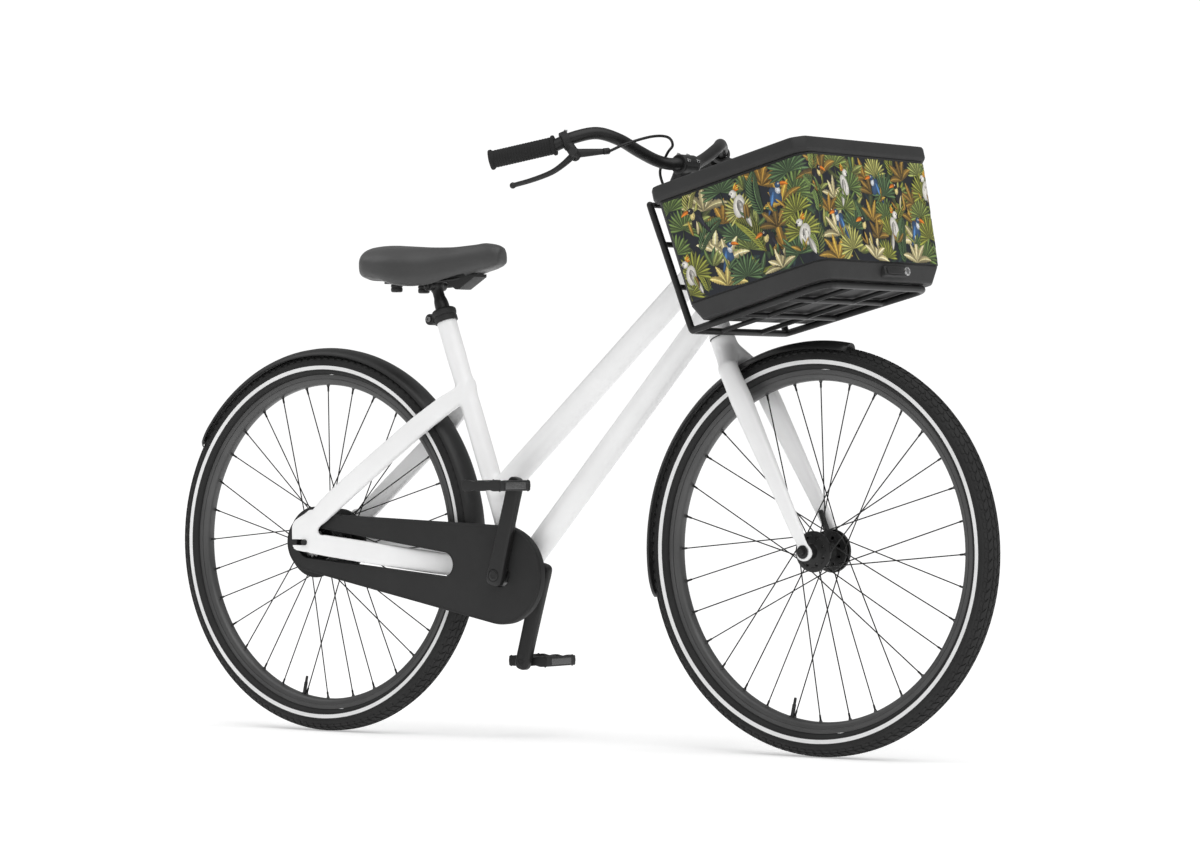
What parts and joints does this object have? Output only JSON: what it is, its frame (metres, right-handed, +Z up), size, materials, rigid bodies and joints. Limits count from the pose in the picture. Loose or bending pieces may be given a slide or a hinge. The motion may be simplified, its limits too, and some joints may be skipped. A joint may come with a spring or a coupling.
{
  "type": "bicycle",
  "caption": "Step-through city bicycle with low slanted tubes, full fenders, closed chain guard and a tilted carrier crate fixed in front of the handlebar.",
  "frame": {"origin": "on the ground midway between the two axles, in the wheels' middle plane", "axes": "+X forward, +Y to the rider's left, +Z up"},
  "size_m": [1.8376, 0.6336, 1.1008],
  "materials": {
    "frame_paint": "satin white paint",
    "black_metal": "satin black powder coat",
    "black_plastic": "matte black",
    "crate_plastic": "fine-grained matte dark grey",
    "crate_print": "printed panels with a dark tropical leaf and bird pattern",
    "tyre": "matte black rubber with a pale side stripe",
    "rubber": "matte black",
    "saddle_cover": "soft matte black synthetic cover",
    "rim": "satin dark grey",
    "spoke": "black",
    "drive_steel": "oiled steel",
    "lock_metal": "plated lock barrel"
  },
  "bodies": {
    "frame": {"head_tube": "frame_paint", "top_tube": "frame_paint", "down_tube": "frame_paint", "seat_tube": "frame_paint", "bottom_bracket": "frame_paint", "right_chainstay": "frame_paint", "left_chainstay": "frame_paint", "right_seatstay": "frame_paint", "left_seatstay": "frame_paint", "seat_collar": "black_plastic", "rear_fender": "black_plastic", "chain_guard": "black_plastic", "chain_guard_back": "black_plastic", "chain": "drive_steel", "rear_axle": "black_metal", "rear_brake_plate": "black_metal", "stand_mount": "black_metal", "carrier": "black_metal", "carrier_bracket_lower": "black_metal", "carrier_bracket_upper": "black_metal", "crate_shell": "crate_plastic", "crate_print": "crate_print", "crate_rim": "crate_plastic", "crate_lock": "lock_metal"},
    "steering": {"fork": "frame_paint", "stem": "black_metal", "handlebar": "black_metal", "right_grip": "rubber", "left_grip": "rubber", "right_lever_bracket": "black_plastic", "left_lever_bracket": "black_plastic", "right_brake_cable": "rubber", "left_brake_cable": "rubber", "front_fender": "black_plastic", "front_axle": "black_metal", "front_brake_plate": "black_metal"},
    "front_wheel": {"front_tyre": "tyre", "front_rim": "rim", "front_hub": "black_metal", "front_spokes_right": "spoke", "front_spokes_left": "spoke"},
    "rear_wheel": {"rear_tyre": "tyre", "rear_rim": "rim", "rear_hub": "black_metal", "rear_spokes_right": "spoke", "rear_spokes_left": "spoke"},
    "crankset": {"right_crank": "black_metal", "left_crank": "black_metal", "crank_spindle": "black_metal", "chainring": "drive_steel"},
    "sprocket": {"rear_sprocket": "drive_steel"},
    "right_pedal": {"right_pedal": "black_plastic"},
    "left_pedal": {"left_pedal": "black_plastic"},
    "right_lever": {"right_lever": "black_plastic"},
    "left_lever": {"left_lever": "black_plastic"},
    "seatpost": {"seatpost": "black_metal", "saddle_base": "black_plastic", "saddle": "saddle_cover"},
    "stand": {"stand_leg": "black_metal"}
  },
  "joints": [
    {"name": "steering_turn", "type": "hinge", "parent": "frame", "child": "steering", "pos_m": [0.352, 0, 0.728], "axis": [-0.3746, 0, 0.9272], "range_deg": [-45, 45]},
    {"name": "front_wheel_spin", "type": "hinge", "parent": "steering", "child": "front_wheel", "pos_m": [0.5608, 0, 0.358], "axis": [0, 1, 0], "continuous": true},
    {"name": "rear_wheel_spin", "type": "hinge", "parent": "frame", "child": "rear_wheel", "pos_m": [-0.5608, 0, 0.358], "axis": [0, 1, 0], "continuous": true},
    {"name": "crank_turn", "type": "hinge", "parent": "frame", "child": "crankset", "pos_m": [-0.104, 0, 0.305], "axis": [0, 1, 0], "continuous": true},
    {"name": "sprocket_turn", "type": "hinge", "parent": "frame", "child": "sprocket", "pos_m": [-0.5608, 0, 0.358], "axis": [0, 1, 0], "continuous": true},
    {"name": "right_pedal_spin", "type": "hinge", "parent": "crankset", "child": "right_pedal", "pos_m": [-0.07331, -0.11, 0.47221], "axis": [0, 1, 0], "continuous": true},
    {"name": "left_pedal_spin", "type": "hinge", "parent": "crankset", "child": "left_pedal", "pos_m": [-0.13469, 0.11, 0.13779], "axis": [0, 1, 0], "continuous": true},
    {"name": "right_brake_squeeze", "type": "hinge", "parent": "steering", "child": "right_lever", "pos_m": [0.207, -0.246, 1.05], "axis": [-0.2901, 0.8413, -0.4562], "range_deg": [0, 14], "stiffness_Nm_per_rad": 2, "springref_deg": -17.19},
    {"name": "left_brake_squeeze", "type": "hinge", "parent": "steering", "child": "left_lever", "pos_m": [0.207, 0.246, 1.05], "axis": [0.2901, 0.8413, 0.4562], "range_deg": [0, 14], "stiffness_Nm_per_rad": 2, "springref_deg": -17.19},
    {"name": "saddle_height", "type": "slide", "parent": "frame", "child": "seatpost", "axis": [-0.3453, 0, 0.9385], "range_m": [-0.03, 0.08]},
    {"name": "stand_swing", "type": "hinge", "parent": "frame", "child": "stand", "pos_m": [-0.235, 0.047, 0.276], "axis": [-0.0366, -0.9365, -0.3486], "range_deg": [0, 92.75]}
  ],
  "couplings": [
    {"joint": "sprocket_turn", "follows": "crank_turn", "ratio": 2.1111}
  ]
}
